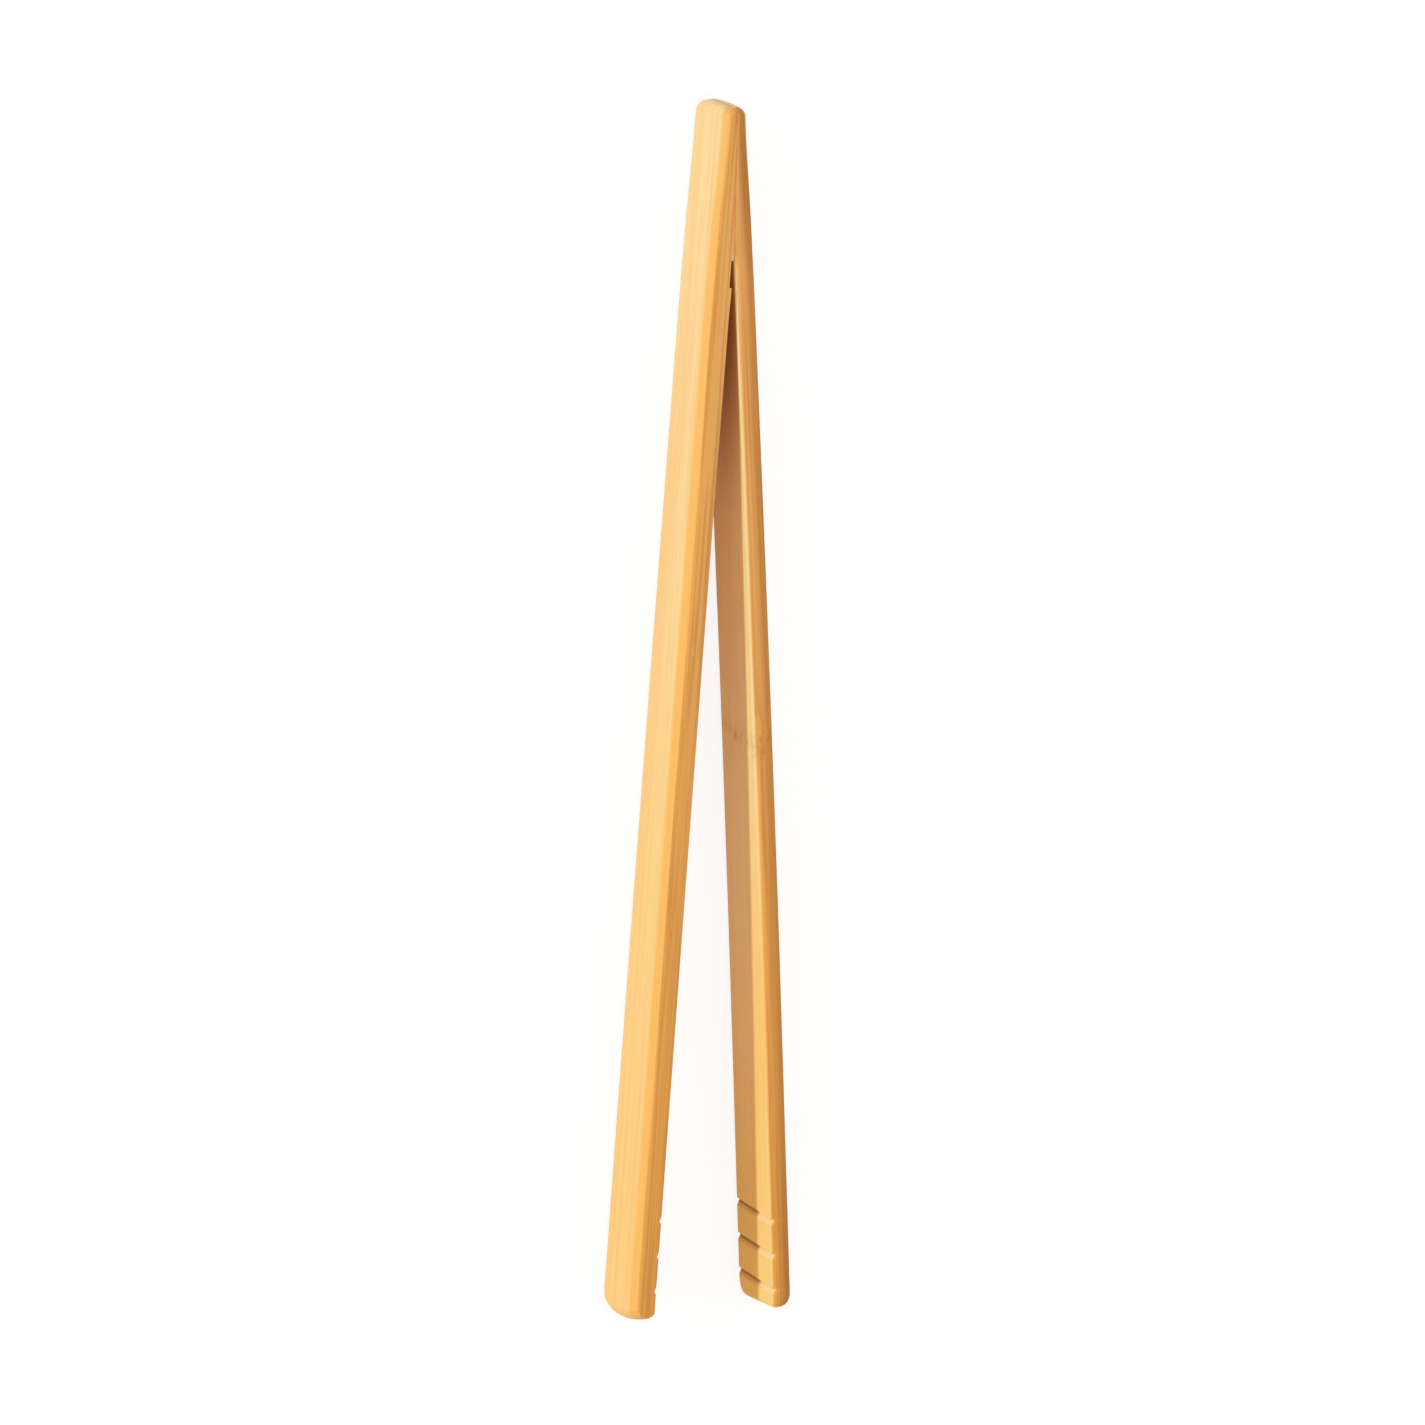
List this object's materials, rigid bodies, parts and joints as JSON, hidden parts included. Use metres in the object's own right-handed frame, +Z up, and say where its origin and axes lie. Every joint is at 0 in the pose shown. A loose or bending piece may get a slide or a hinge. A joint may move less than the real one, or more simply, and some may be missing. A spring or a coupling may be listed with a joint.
{
  "type": "print tongs",
  "caption": "Bamboo print tongs: two straight laths spliced and glued at the head, springing apart to grooved tips that close on the edge of a wet print.",
  "frame": {"origin": "under the middle of the tongs, on the surface that they lie on", "axes": "+Y along the tongs to the glued head, +X across the spread from the left lath to the right, +Z up across the width of the laths"},
  "size_m": [0.034, 0.23, 0.0128],
  "materials": {
    "bamboo": "planed and lightly sanded bamboo, unvarnished",
    "glue": "cured clear amber glue"
  },
  "bodies": {
    "head": {"left_lath_head": "bamboo", "right_lath_head": "bamboo", "glue_film": "glue"},
    "left_arm": {"left_lath_blade": "bamboo"},
    "right_arm": {"right_lath_blade": "bamboo"}
  },
  "joints": [
    {"name": "left_lath_bend", "type": "hinge", "parent": "head", "child": "left_arm", "pos_m": [-0.00413, 0.05735, 0.0064], "axis": [0, 0, 1], "range_deg": [0, 4.17], "stiffness_Nm_per_rad": 16},
    {"name": "right_lath_bend", "type": "hinge", "parent": "head", "child": "right_arm", "pos_m": [0.00413, 0.05735, 0.0064], "axis": [0, 0, -1], "range_deg": [0, 4.17], "stiffness_Nm_per_rad": 16}
  ]
}
